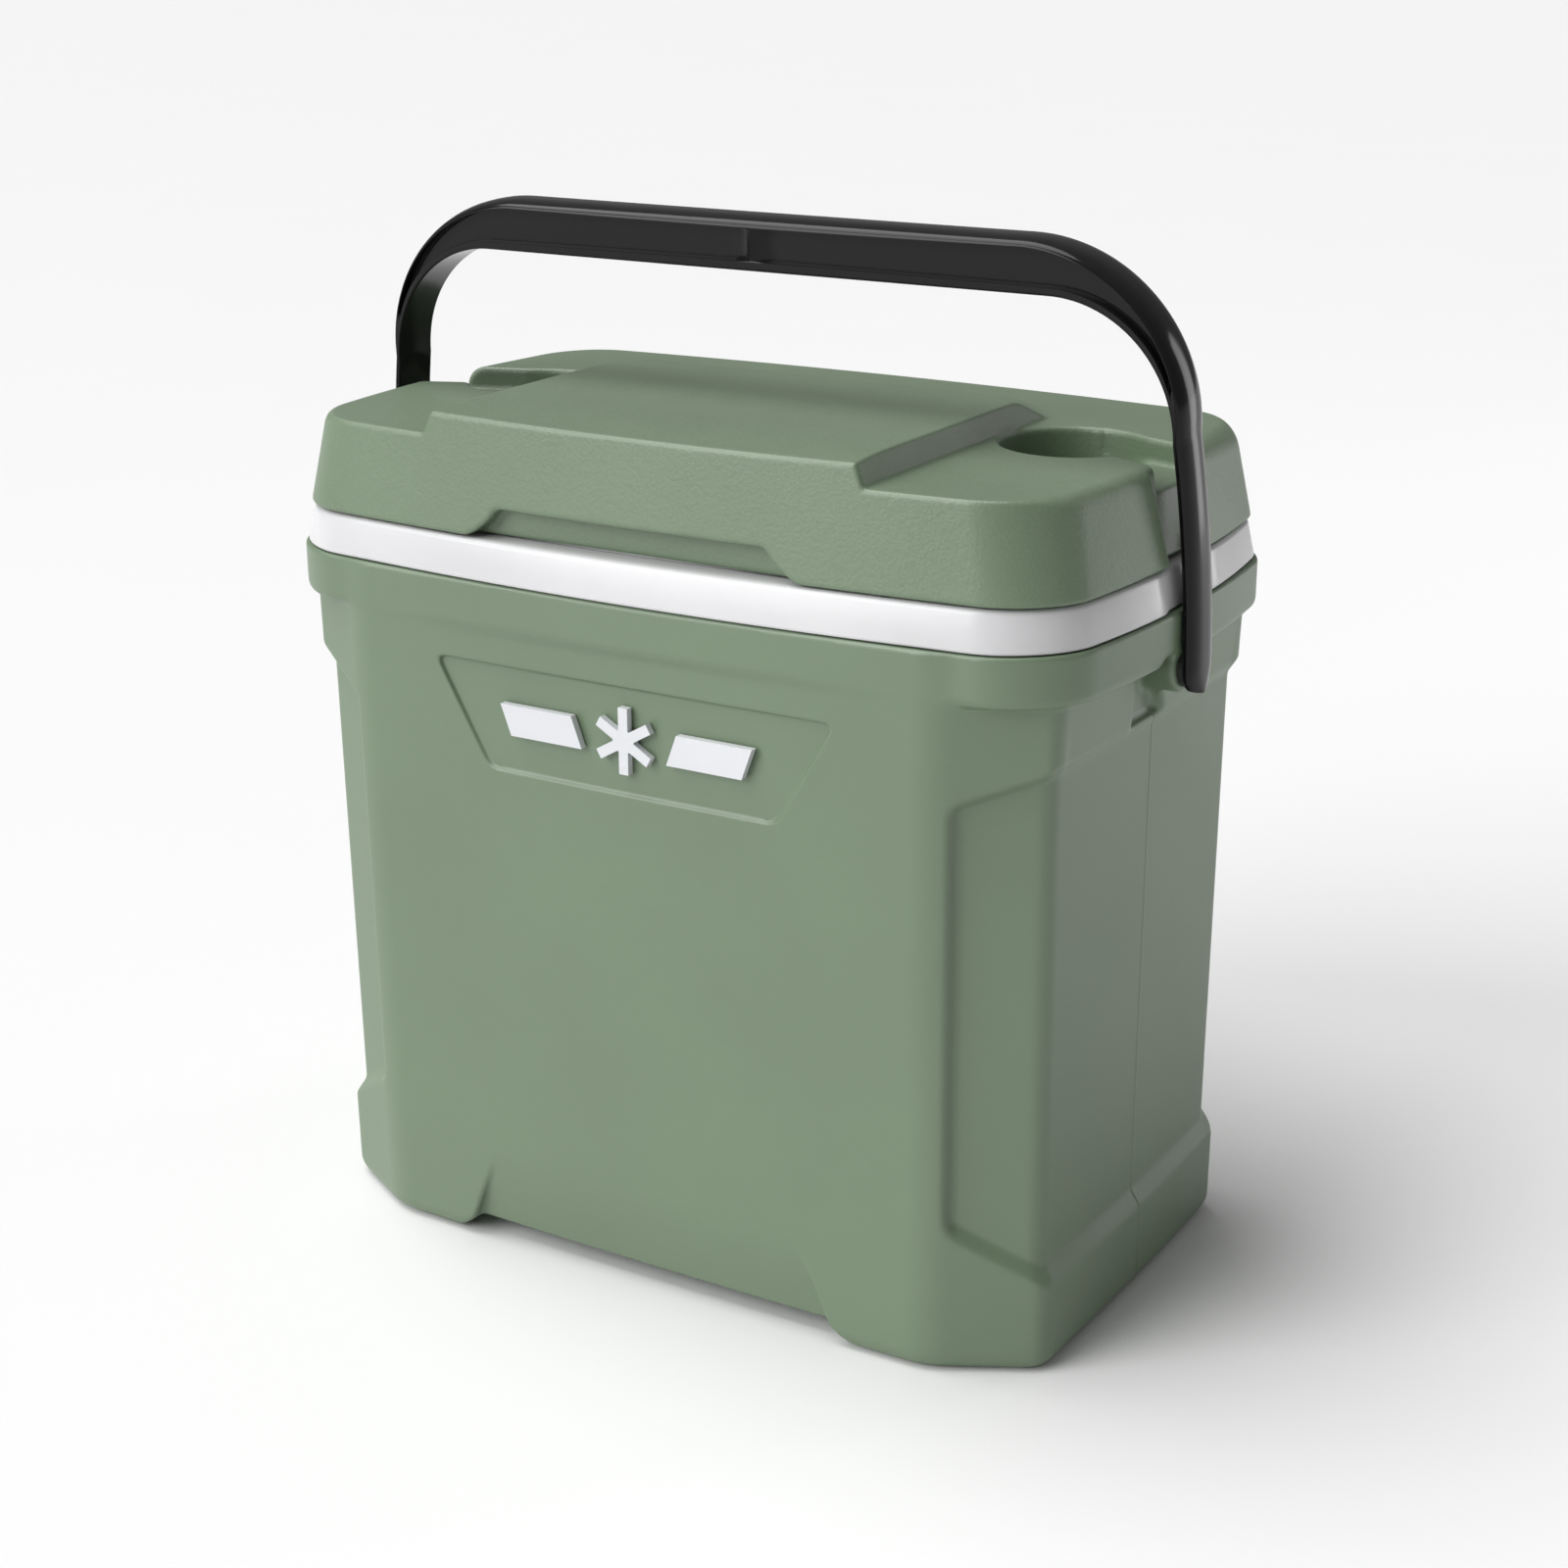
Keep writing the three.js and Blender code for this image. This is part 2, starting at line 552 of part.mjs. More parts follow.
function screw(x, seatY, z) {
  const head = new THREE.LatheGeometry([[0, 0], [hinge.headR, 0], [hinge.headR - 0.6, 1.2],
    [hinge.headR - 2, 2], [0, 2.2]].map(([r, y]) => new THREE.Vector2(r, y)), 16);
  const cap = solidOf(head.translate(x, seatY + gap, z));
  return cap.add(rodY(hinge.shankR, seatY - hinge.grip, seatY + gap + 0.5, x, z));
}

// Badge: a raised six-armed frost star between two bars

function badgeStar() {
  const [y0, y1] = [-body.neckY + 2.2 - badge.thick, -body.neckY + 1.6];
  const arms = [0, 1, 2].map((i) => {
    const arm = new THREE.BoxGeometry(2 * badge.starR, y1 - y0, 2 * badge.armHalf);
    return solidOf(arm.rotateY((i * Math.PI) / 3 + Math.PI / 6).translate(0, (y0 + y1) / 2, badge.z));
  });
  const hub = rodY(badge.starR * 0.42, y0, y1, 0, badge.z, 6);
  return joined([...arms, hub]);
}

function badgeBar(side) {
  const [y0, y1] = [-body.neckY + 2.2 - badge.thick, -body.neckY + 1.6];
  const { barNear, barFar, barHalf, z } = badge;
  const bar = [[barNear, z - barHalf], [barFar - 6, z - barHalf], [barFar, z + barHalf],
    [barNear + 6, z + barHalf]];
  return prismY(side > 0 ? bar : mirrorX(bar), y0, y1);
}

// Assembly

const cooler = new THREE.Group();
cooler.position.y = -rearShift;
const swing = new THREE.Group();
swing.position.z = pivot.z;
swing.rotation.x = THREE.MathUtils.degToRad(bail.leanDeg);
cooler.add(swing);

function add(name, finish, solid, parent = cooler) {
  const material = new THREE.MeshStandardMaterial(finishes[finish]);
  const mesh = new THREE.Mesh(geometryOf(solid), material);
  mesh.name = name;
  parent.add(mesh);
}

add('body_shell', 'sage', bodyShell());
add('body_foam', 'foam', bodyFoam());
add('tub_liner', 'white', tubLiner());
add('lid_shell', 'sage', lidShell());
add('lid_foam', 'foam', lidFoam());
add('lid_liner', 'white', lidLiner());
add('bail_handle', 'black', bailHandle(), swing);
for (const [name, side] of ends) {
  add(`pivot_pin_${name}`, 'steel', pivotPin(side), swing);
  add(`pin_clip_${name}`, 'steel', pinClip(side), swing);
  add(`pivot_bush_${name}`, 'bush', pivotBush(side));
  const x = side * hinge.x;
  add(`hinge_body_leaf_${name}`, 'steel', bodyLeaf(x));
  add(`hinge_lid_leaf_${name}`, 'steel', lidLeaf(x));
  add(`hinge_pin_${name}`, 'steel', hingePin(x));
  add(`badge_bar_${name}`, 'white', badgeBar(side));
}
add('badge_star', 'white', badgeStar());
screwSpots.forEach((x, i) => {
  add(`body_screw_${i + 1}`, 'steel', screw(x, leafY + hinge.leaf, lowScrewZ));
  add(`lid_screw_${i + 1}`, 'steel', screw(x, lidLeafY(highScrewZ - hinge.headR) + hinge.leaf, highScrewZ));
});

export default cooler;
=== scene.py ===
"""A hard-sided picnic cooler: moulded sage-green tub and lid, white rim band, black bail handle."""

import json
import math

import bpy
import numpy as np
from mathutils import Matrix, Vector


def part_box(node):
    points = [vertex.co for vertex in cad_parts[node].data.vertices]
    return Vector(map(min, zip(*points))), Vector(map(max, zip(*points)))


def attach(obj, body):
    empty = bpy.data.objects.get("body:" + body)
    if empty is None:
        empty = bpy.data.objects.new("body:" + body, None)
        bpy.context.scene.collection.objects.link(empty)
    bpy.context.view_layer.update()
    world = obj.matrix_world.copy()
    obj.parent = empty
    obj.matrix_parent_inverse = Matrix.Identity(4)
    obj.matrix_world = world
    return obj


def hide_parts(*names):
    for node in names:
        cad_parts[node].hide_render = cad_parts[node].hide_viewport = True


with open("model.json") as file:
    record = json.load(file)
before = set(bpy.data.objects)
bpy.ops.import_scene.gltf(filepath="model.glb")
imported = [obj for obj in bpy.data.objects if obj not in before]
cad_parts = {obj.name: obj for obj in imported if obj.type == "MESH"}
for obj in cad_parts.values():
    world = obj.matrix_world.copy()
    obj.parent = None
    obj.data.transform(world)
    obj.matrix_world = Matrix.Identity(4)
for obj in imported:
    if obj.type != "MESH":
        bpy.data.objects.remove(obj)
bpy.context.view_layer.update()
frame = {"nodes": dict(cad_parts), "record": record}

# ---------------------------------------------------------------------------
# Driving places, taken from the frame. Shapes are worked out in millimetres about
# the middle of the tub, and moved into the frame when they are made into pieces.
# ---------------------------------------------------------------------------

MM = 0.001
JOINTS = {joint["name"]: joint for joint in frame["record"]["behaviour"]["joints"]}
PIVOT = [v / MM for v in JOINTS["handle_swing"]["pos_m"]]
TUB_Y = PIVOT[1]                                  # the tub's middle in the frame
COLLAR_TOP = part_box("body_shell")[1][2] / MM      # top of the green body
RIM_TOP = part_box("tub_liner")[1][2] / MM          # top of the white band
LID_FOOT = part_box("lid_shell")[0][2] / MM         # bottom edge of the lid
PANEL_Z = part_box("lid_shell")[1][2] / MM          # raised middle of the lid
DECK_Z = LID_FOOT + 46.9                          # lower deck around the cup holders
END_BOW, FRONT_BOW = 13.7, 14.5                   # how far the sides of the rim swell out


# ---------------------------------------------------------------------------
# Distance fields: negative inside a solid, in millimetres
# ---------------------------------------------------------------------------

def both(a, b, soft=0.01):
    """The solid that two fields share, with its edge rounded by soft."""
    near = np.maximum(soft - np.abs(a - b), 0.0) / soft
    return np.maximum(a, b) + near * near * soft * 0.25


def either(a, b, soft=0.01):
    """The two solids joined, with the inner corner filled by soft."""
    return -both(-a, -b, soft)


def without(a, cut, soft=0.01):
    return both(a, -cut, soft)


def ramp(value, start, end, soft=0.15):
    """0 before start, 1 after end, straight between, with rounded bends."""
    t = (value - start) / (end - start)
    lifted = -either(-t, np.zeros_like(t), soft)
    return either(lifted, np.ones_like(t), soft)


def ease(value, start, end):
    t = np.clip((value - start) / (end - start), 0.0, 1.0)
    return t * t * (3.0 - 2.0 * t)


def swollen(x, y, half_x, half_y, bow_x, bow_y):
    """Undoes the bow of the four sides, so that a plain rectangle can be measured."""
    across = np.clip(np.abs(x) / half_x, 0.0, 1.0) ** 2
    along = np.clip(np.abs(y) / half_y, 0.0, 1.0) ** 2
    return np.abs(x) / (1.0 - bow_x / half_x * along), np.abs(y) / (1.0 - bow_y / half_y * across)


def rounded_plan(x, y, half_x, half_y, corner, bow_x=END_BOW, bow_y=FRONT_BOW):
    flat_x, flat_y = swollen(x, y, half_x, half_y, bow_x, bow_y)
    qx, qy = flat_x - half_x + corner, flat_y - half_y + corner
    outside = np.hypot(np.maximum(qx, 0.0), np.maximum(qy, 0.0))
    return outside + np.minimum(np.maximum(qx, qy), 0.0) - corner


# ---------------------------------------------------------------------------
# Meshes
# ---------------------------------------------------------------------------

def steps(*stretches):
    """Grid lines: each stretch is (from, to, pitch), and they follow one another."""
    lines = [np.linspace(a, b, max(2, int(round((b - a) / pitch)) + 1))[:-1] for a, b, pitch in stretches]
    return np.concatenate(lines + [[stretches[-1][1]]])


def two_sided(*stretches):
    right = steps(*stretches)
    return np.concatenate([-right[::-1], right[1:]])


def cells_round(crossing, axis, shape):
    """The four grid cells that meet at each crossed edge, in turn."""
    u, v = (axis + 1) % 3, (axis + 2) % 3
    corners = []
    for back_u, back_v in ((0, 0), (1, 0), (1, 1), (0, 1)):
        cell = crossing.copy()
        cell[:, u] -= back_u
        cell[:, v] -= back_v
        corners.append(np.ravel_multi_index(cell.T, shape))
    return np.stack(corners, axis=1)


def skin_of(field, grid):
    """Points and four-sided faces of the surface where the field is zero."""
    values = field(*np.meshgrid(*grid, indexing="ij", sparse=True)).astype(np.float32)
    values = np.broadcast_to(values, [len(line) for line in grid])
    inside = values < 0
    shape = tuple(n - 1 for n in values.shape)
    rounds, places = [], []
    for axis in range(3):
        low = [slice(None)] * 3
        high = [slice(None)] * 3
        low[axis], high[axis] = slice(0, -1), slice(1, None)
        crossing = np.argwhere(inside[tuple(low)] != inside[tuple(high)])
        beyond = crossing.copy()
        beyond[:, axis] += 1
        before, after = values[tuple(crossing.T)], values[tuple(beyond.T)]
        share = before / (before - after)
        place = np.stack([grid[n][crossing[:, n]] for n in range(3)], axis=1)
        place[:, axis] += share * (grid[axis][beyond[:, axis]] - grid[axis][crossing[:, axis]])
        around = cells_round(crossing, axis, shape)
        around[before > 0] = around[before > 0][:, ::-1]
        rounds.append(around)
        places.append(place)
    rounds, places = np.concatenate(rounds), np.concatenate(places)
    names, faces = np.unique(rounds, return_inverse=True)
    faces = faces.reshape(-1, 4)
    count = np.bincount(faces.ravel(), minlength=len(names))
    points = np.stack([
        np.bincount(faces.ravel(), weights=np.repeat(places[:, n], 4), minlength=len(names)) / count
        for n in range(3)], axis=1)
    return settled(points, field), faces


def slope_of(field, points, reach=0.04):
    slopes = []
    for n in range(3):
        step = np.zeros(3)
        step[n] = reach
        slopes.append((field(*(points + step).T) - field(*(points - step).T)) / (2 * reach))
    return np.stack(slopes, axis=1)


def settled(points, field, rounds=4, reach=0.7):
    """Moves each point straight onto the surface."""
    for _ in range(rounds):
        slope = slope_of(field, points)
        size = np.maximum((slope * slope).sum(axis=1), 0.2)
        move = (field(*points.T) / size)[:, None] * slope
        points = points - np.clip(move, -reach, reach)
    return points


def mesh_piece(name, points, faces, material, body):
    """Makes a piece from points in millimetres about the tub's middle."""
    mesh = bpy.data.meshes.new(name)
    mesh.vertices.add(len(points))
    placed = np.asarray(points, dtype=np.float64) + [0.0, TUB_Y, 0.0]
    mesh.vertices.foreach_set("co", (placed * MM).ravel())
    sizes = np.array([len(face) for face in faces])
    mesh.loops.add(int(sizes.sum()))
    mesh.loops.foreach_set("vertex_index", np.concatenate(list(faces)).astype(np.int32))
    mesh.polygons.add(len(sizes))
    mesh.polygons.foreach_set("loop_start", np.concatenate([[0], np.cumsum(sizes)[:-1]]).astype(np.int32))
    mesh.update(calc_edges=True)
    mesh.polygons.foreach_set("use_smooth", np.full(len(sizes), True))
    mesh.validate()
    piece = bpy.data.objects.new(name, mesh)
    bpy.context.scene.collection.objects.link(piece)
    mesh.materials.append(material)
    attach(piece, body)
    return piece


def moulded(name, field, grid, material, body):
    points, faces = skin_of(field, grid)
    return mesh_piece(name, points, faces, material, body)


def lofted(name, rings, material, body):
    """A skin over rings that all have the same number of points, with a flat face at each end."""
    count = len(rings[0])
    points = np.concatenate([np.asarray(ring) for ring in rings])
    here = np.arange(count)
    after = (here + 1) % count
    faces = []
    for row in range(len(rings) - 1):
        low, high = row * count, (row + 1) * count
        faces += np.stack([low + here, low + after, high + after, high + here], axis=1).tolist()
    faces.append(here[::-1].tolist())
    faces.append((here + (len(rings) - 1) * count).tolist())
    piece = mesh_piece(name, points, faces, material, body)
    piece.data.set_sharp_from_angle(angle=math.radians(38))
    return piece


# ---------------------------------------------------------------------------
# Shader groups and finishes
# ---------------------------------------------------------------------------

def linked(tree, node, **inputs):
    """Sets a node's inputs, by name or as i and a number: a socket is joined, anything else is a value."""
    for key, value in inputs.items():
        numbered = key[0] == "i" and key[1:].isdigit()
        socket = node.inputs[int(key[1:]) if numbered else key.replace("_", " ")]
        if isinstance(value, bpy.types.NodeSocket):
            tree.links.new(value, socket)
        else:
            socket.default_value = value
    return node


def new_group(name, inputs, outputs):
    tree = bpy.data.node_groups.new(name, "ShaderNodeTree")
    for label, kind, value in inputs:
        socket = tree.interface.new_socket(name=label, in_out="INPUT", socket_type=kind)
        socket.default_value = value
    for label, kind in outputs:
        tree.interface.new_socket(name=label, in_out="OUTPUT", socket_type=kind)
    return tree, tree.nodes.new("NodeGroupInput"), tree.nodes.new("NodeGroupOutput")


def maths(tree, kind, a, b=0.0, clamp=False):
    node = tree.nodes.new("ShaderNodeMath")
    node.operation = kind
    node.use_clamp = clamp
    return linked(tree, node, i0=a, i1=b).outputs[0]


def noise(tree, place, scale, detail=3.0, rough=0.5):
    node = tree.nodes.new("ShaderNodeTexNoise")
    return linked(tree, node, Vector=place, Scale=scale, Detail=detail, Roughness=rough).outputs["Fac"]


def stretch(tree, value, low, high, to_low=0.0, to_high=1.0):
    node = tree.nodes.new("ShaderNodeMapRange")
    node.interpolation_type = "SMOOTHSTEP"
    linked(tree, node, Value=value, From_Min=low, From_Max=high, To_Min=to_low, To_Max=to_high)
    return node.outputs[0]


def tinted(tree, share, first, second):
    node = tree.nodes.new("ShaderNodeMix")
    node.data_type = "RGBA"
    return linked(tree, node, i0=share, i6=first, i7=second).outputs[2]


def make_pebble():
    """Moulded pebble grain: a height to bump, and a mask of the hollows between pebbles, where shade is
    painted.
    """
    tree, given, put = new_group(
        "pebble_grain",
        [("Size", "NodeSocketFloat", 900.0)],
        [("Height", "NodeSocketFloat"), ("Pits", "NodeSocketFloat")])
    place = tree.nodes.new("ShaderNodeTexCoord").outputs["Object"]
    cells = tree.nodes.new("ShaderNodeTexVoronoi")
    cells.feature = "SMOOTH_F1"
    linked(tree, cells, Vector=place, Scale=given.outputs["Size"], Smoothness=0.6)
    wander = noise(tree, place, maths(tree, "MULTIPLY", given.outputs["Size"], 0.45), 2.0)
    height = maths(tree, "MULTIPLY_ADD", cells.outputs["Distance"], -0.7)
    height.node.inputs[2].default_value = 0.7
    mixed = maths(tree, "ADD", height, maths(tree, "MULTIPLY", wander, 0.6))
    # The second output marks the hollows between pebbles, where the plastic paints shade.
    linked(tree, put, Height=mixed, Pits=stretch(tree, cells.outputs["Distance"], 0.35, 0.75))
    return tree


def make_handling():
    """Traces of use: a soft uneven bloom, fine scuffs that lie along the surface, and dust on ledges."""
    tree, given, put = new_group(
        "handling_marks",
        [("Scuff", "NodeSocketFloat", 0.5), ("Dust", "NodeSocketFloat", 0.4)],
        [("Bloom", "NodeSocketFloat"), ("Scuffs", "NodeSocketFloat"), ("Dust", "NodeSocketFloat")])
    place = tree.nodes.new("ShaderNodeTexCoord").outputs["Object"]
    bloom = stretch(tree, noise(tree, place, 9.0, 4.0, 0.55), 0.32, 0.72)
    long = tree.nodes.new("ShaderNodeMapping")
    linked(tree, long, Vector=place, Rotation=(0.4, 0.7, 0.3), Scale=(1.0, 7.0, 9.0))
    streaks = stretch(tree, noise(tree, long.outputs[0], 60.0, 5.0, 0.65), 0.62, 0.76)
    where = stretch(tree, noise(tree, place, 14.0, 2.0), 0.5, 0.7)
    scuffs = maths(tree, "MULTIPLY", maths(tree, "MULTIPLY", streaks, where), given.outputs["Scuff"])
    facing = tree.nodes.new("ShaderNodeSeparateXYZ")
    tree.links.new(tree.nodes.new("ShaderNodeNewGeometry").outputs["Normal"], facing.inputs[0])
    ledge = stretch(tree, facing.outputs["Z"], 0.45, 0.95)
    specks = noise(tree, place, 120.0, 6.0, 0.7)
    dust = maths(tree, "MULTIPLY", maths(tree, "MULTIPLY", ledge, specks), given.outputs["Dust"])
    linked(tree, put, Bloom=bloom, Scuffs=scuffs, Dust=dust)
    return tree


def make_edge_wear():
    """Edges rubbed pale: where the rounded-off normal differs from the true one."""
    tree, given, put = new_group(
        "edge_wear",
        [("Width", "NodeSocketFloat", 0.0012), ("Amount", "NodeSocketFloat", 0.4)],
        [("Edge", "NodeSocketFloat")])
    soft = tree.nodes.new("ShaderNodeBevel")
    soft.samples = 4
    tree.links.new(given.outputs["Width"], soft.inputs["Radius"])
    true_normal = tree.nodes.new("ShaderNodeNewGeometry").outputs["Normal"]
    dot = tree.nodes.new("ShaderNodeVectorMath")
    dot.operation = "DOT_PRODUCT"
    tree.links.new(soft.outputs[0], dot.inputs[0])
    tree.links.new(true_normal, dot.inputs[1])
    turned = stretch(tree, dot.outputs["Value"], 0.9985, 0.93)
    place = tree.nodes.new("ShaderNodeTexCoord").outputs["Object"]
    broken = stretch(tree, noise(tree, place, 160.0, 4.0), 0.35, 0.65)
    rubbed = maths(tree, "MULTIPLY", turned, broken)
    linked(tree, put, Edge=maths(tree, "MULTIPLY", rubbed, given.outputs["Amount"]))
    return tree


PEBBLE, HANDLING, EDGE_WEAR = make_pebble(), make_handling(), make_edge_wear()


def use(tree, group, **inputs):
    node = tree.nodes.new("ShaderNodeGroup")
    node.node_tree = group
    return linked(tree, node, **inputs)


def shade(colour, factor):
    return tuple(min(1.0, c * factor) for c in colour[:3]) + (1.0,)


DUST_COLOUR = (0.6, 0.59, 0.56, 1.0)


def plastic(name, colour, roughness, grain, grain_size=900.0, scuff=0.3, dust=0.1, edge=0.1,
            pale=1.35, specular=0.5):
    """Moulded plastic: colour that drifts a little, pebble or polish with painted shade in the pebble's
    hollows, rubbed edges, dust on top.
    """
    material = bpy.data.materials.new(name)
    material.use_nodes = True
    tree = material.node_tree
    shader = tree.nodes["Principled BSDF"]
    marks = use(tree, HANDLING, Scuff=scuff, Dust=dust)
    wear = use(tree, EDGE_WEAR, Amount=edge)
    pebble = use(tree, PEBBLE, Size=grain_size)
    base = tinted(tree, marks.outputs["Bloom"], shade(colour, 0.965), shade(colour, 1.035))
    # Painted shade: the hollows between the pebbles are darkened towards 0.8 of the colour, more strongly
    # where grain is larger.
    pit_shade = maths(tree, "MULTIPLY", pebble.outputs["Pits"], min(grain, 1.0) * 0.25)
    base = tinted(tree, pit_shade, base, shade(colour, 0.8))
    worn = maths(tree, "ADD", wear.outputs["Edge"], marks.outputs["Scuffs"], clamp=True)
    base = tinted(tree, maths(tree, "MULTIPLY", worn, 0.5), base, shade(colour, pale))
    base = tinted(tree, maths(tree, "MULTIPLY", marks.outputs["Dust"], 0.35), base, DUST_COLOUR)
    rough = maths(tree, "MULTIPLY_ADD", marks.outputs["Bloom"], 0.06)
    rough.node.inputs[2].default_value = roughness - 0.03
    rough = maths(tree, "ADD", rough, maths(tree, "MULTIPLY", worn, 0.15))
    rough = maths(tree, "ADD", rough, maths(tree, "MULTIPLY", marks.outputs["Dust"], 0.25), clamp=True)
    bump = tree.nodes.new("ShaderNodeBump")
    place = tree.nodes.new("ShaderNodeTexCoord").outputs["Object"]
    ripple = maths(tree, "MULTIPLY", noise(tree, place, 26.0, 2.0), 0.8)
    height = maths(tree, "MULTIPLY_ADD", pebble.outputs["Height"], grain)
    tree.links.new(ripple, height.node.inputs[2])
    linked(tree, bump, Strength=0.5, Distance=0.0002, Height=height)
    linked(tree, shader, Base_Color=base, Roughness=rough, Normal=bump.outputs[0])
    shader.inputs["Specular IOR Level"].default_value = specular
    return material


def brushed_steel(name, along, roughness):
    """Steel strip or rod with brush lines along one axis, dust specks on upward faces, and roughness that
    drifts.
    """
    material = bpy.data.materials.new(name)
    material.use_nodes = True
    tree = material.node_tree
    shader = tree.nodes["Principled BSDF"]
    place = tree.nodes.new("ShaderNodeTexCoord").outputs["Object"]
    drawn = tree.nodes.new("ShaderNodeMapping")
    linked(tree, drawn, Vector=place, Scale=tuple(1.0 if axis == along else 60.0 for axis in range(3)))
    lines = noise(tree, drawn.outputs[0], 70.0, 3.0, 0.6)
    marks = use(tree, HANDLING, Scuff=0.6, Dust=0.3)
    base = tinted(tree, lines, (0.5, 0.5, 0.51, 1.0), (0.62, 0.62, 0.63, 1.0))
    base = tinted(tree, marks.outputs["Dust"], base, (0.35, 0.34, 0.32, 1.0))
    bump = linked(tree, tree.nodes.new("ShaderNodeBump"), Strength=0.25, Distance=0.00005, Height=lines)
    rough = maths(tree, "MULTIPLY_ADD", marks.outputs["Bloom"], 0.12)
    rough.node.inputs[2].default_value = roughness
    linked(tree, shader, Base_Color=base, Roughness=rough, Normal=bump.outputs[0])
    shader.inputs["Metallic"].default_value = 1.0
    return material


SAGE = (0.126, 0.180, 0.110)
WHITE = (0.56, 0.56, 0.57)
SAGE_BODY = plastic("sage_body_plastic", SAGE, 0.42, grain=0.35, grain_size=1100.0, edge=0.3, specular=0.7)
SAGE_LID = plastic(
    "sage_lid_plastic", SAGE, 0.44, grain=1.5, grain_size=620.0, dust=0.2, edge=0.35, specular=0.7)
WHITE_RIM = plastic("white_rim_plastic", WHITE, 0.24, grain=0.03, edge=0.15, pale=1.1)
WHITE_UNDERSIDE = plastic("white_underside_plastic", WHITE, 0.3, grain=0.05, pale=1.1)
BLACK_GLOSS = plastic(
    "black_handle_plastic", (0.008, 0.0075, 0.008), 0.14,
    grain=0.02, dust=0.03, edge=0.2, pale=3.0, specular=0.2)
BLACK_BUSH = plastic(
    "black_bush_plastic", (0.012, 0.012, 0.012), 0.42, grain=0.2, scuff=0.2, dust=0.2, edge=0.3, pale=3.0)
BADGE_WHITE = plastic(
    "badge_white_plastic", (0.62, 0.63, 0.655), 0.3, grain=0.05, scuff=0.2, dust=0.05, pale=1.1)
HINGE_STEEL = brushed_steel("hinge_strip_steel", along=0, roughness=0.28)
SCREW_STEEL = brushed_steel("turned_screw_steel", along=1, roughness=0.24)
ROD_STEEL = brushed_steel("drawn_rod_steel", along=0, roughness=0.2)


# ---------------------------------------------------------------------------
# Body: tapered tub with cut corners, recessed ends, a collar, an arch and a badge panel
# ---------------------------------------------------------------------------

FOOT_WIDE, FOOT_DEEP = 220.5, 134.7               # half sizes just above the floor
FLARE_WIDE, FLARE_DEEP = 1.5 / 335.0, 4.8 / 335.0  # how fast the walls open out going up
WALL_BOW = 4.0
FACET_X, FACET_Y = 52.0, 28.0                     # the flat cut across each corner
FACET_WIDE = math.hypot(FACET_X, FACET_Y)
RECESS = 5.5                                      # depth of the panel that wraps each end
LEDGE_FRONT, LEDGE_END = 88.0, 55.0               # foot of that panel
HEAD_FRONT, HEAD_END = 289.0, 310.0               # top of that panel
ARCH_HALF, ARCH_Z = 112.0, 10.0                   # the arch under the front and the back
TOE_Z, TOE_SLANT = 47.0, 0.19                     # the slanted strip above the arch
WELL_X, WELL_Y, WELL_FLOOR = 197.0, 120.0, 42.0   # the hollow for the liner
PLAQUE_TOP, PLAQUE_LEAN = 116.5, 0.58             # half width at the top, and how fast it narrows
PLAQUE_HIGH, PLAQUE_LOW = 330.0, 275.0


def wall_plan(x, y, z):
    """The body's upright wall, before the recess: bowed sides and flat cut corners."""
    half_x = FOOT_WIDE + (z - 10.0) * FLARE_WIDE
    half_y = FOOT_DEEP + (z - 10.0) * FLARE_DEEP
    flat_x, flat_y = swollen(x, y, half_x, half_y, WALL_BOW, WALL_BOW)
    facet = ((flat_x - half_x) * FACET_Y + (flat_y - half_y + FACET_Y) * FACET_X) / FACET_WIDE
    fold = (flat_x - half_x + FACET_X - (flat_y - half_y)) / (FACET_X + FACET_Y)
    return flat_x - half_x, flat_y - half_y, facet, fold


def body_field(x, y, z):
    """The whole body: walls with the wrapped panel, collar, arch, toe strips, plaque, scoops and bosses."""
    end, front, facet, fold = wall_plan(x, y, z)
    turn = np.clip(fold, 0.0, 1.0)
    low_z = LEDGE_FRONT + (LEDGE_END - LEDGE_FRONT) * turn
    high_z = HEAD_FRONT + (HEAD_END - HEAD_FRONT) * turn
    at_end = ease(fold, 0.9, 1.15)
    lip = ramp(z, high_z, high_z + 6.5, 0.3)
    shoulder = 0.55 * lip + 0.45 * ramp(z, high_z + 4.0, high_z + 38.0, 0.3)
    sunk = ramp(fold * FACET_WIDE, 8.0, 15.0, 0.3) * ramp(z, low_z - 7.0, low_z + 1.0, 0.25)
    push = RECESS * sunk * (1.0 - (1.0 - at_end) * lip - at_end * shoulder)
    seam = 0.35 * np.exp(-(y / 0.7) ** 2) * ease(fold, 1.2, 1.3)
    push = push - seam
    wall = both(both(end + push, facet + push, 7.0), front, 5.0)
    solid = both(wall, -z, 11.0)
    collar = rounded_plan(x, y, 235.0, 142.4, 40.0)
    collar = both(collar, 346.5 - z, 6.0)
    solid = either(solid, collar, 3.0)
    solid = both(solid, z - COLLAR_TOP, 2.0)
    solid = without(solid, arch_field(x, y, z), 3.0)
    solid = without(solid, toe_field(x, y, z), 2.0)
    solid = without(solid, plaque_field(x, y, z), 1.2)
    solid = without(solid, shoulder_pocket(x, y, z), 3.0)
    solid = without(solid, tub_well(x, y, z))
    return either(solid, pivot_boss(x, y, z), 4.0)


def pivot_boss(x, y, z):
    """The swelling under the collar that carries the handle's bush."""
    round_it = np.hypot(y, z - PIVOT[2]) - 15.0
    return both(both(round_it, np.abs(x) - 233.0, 3.0), 205.0 - np.abs(x))


def tub_well(x, y, z):
    """The hollow that the tub liner hangs in."""
    return both(rounded_plan(x, y, WELL_X, WELL_Y, 36.0, 0.0, 0.0), WELL_FLOOR - z)


def arch_field(x, y, z):
    flank = (np.abs(x) - ARCH_HALF - 12.0 * (ARCH_Z - z) / ARCH_Z) * 0.75
    return both(flank, z - ARCH_Z, 3.0)


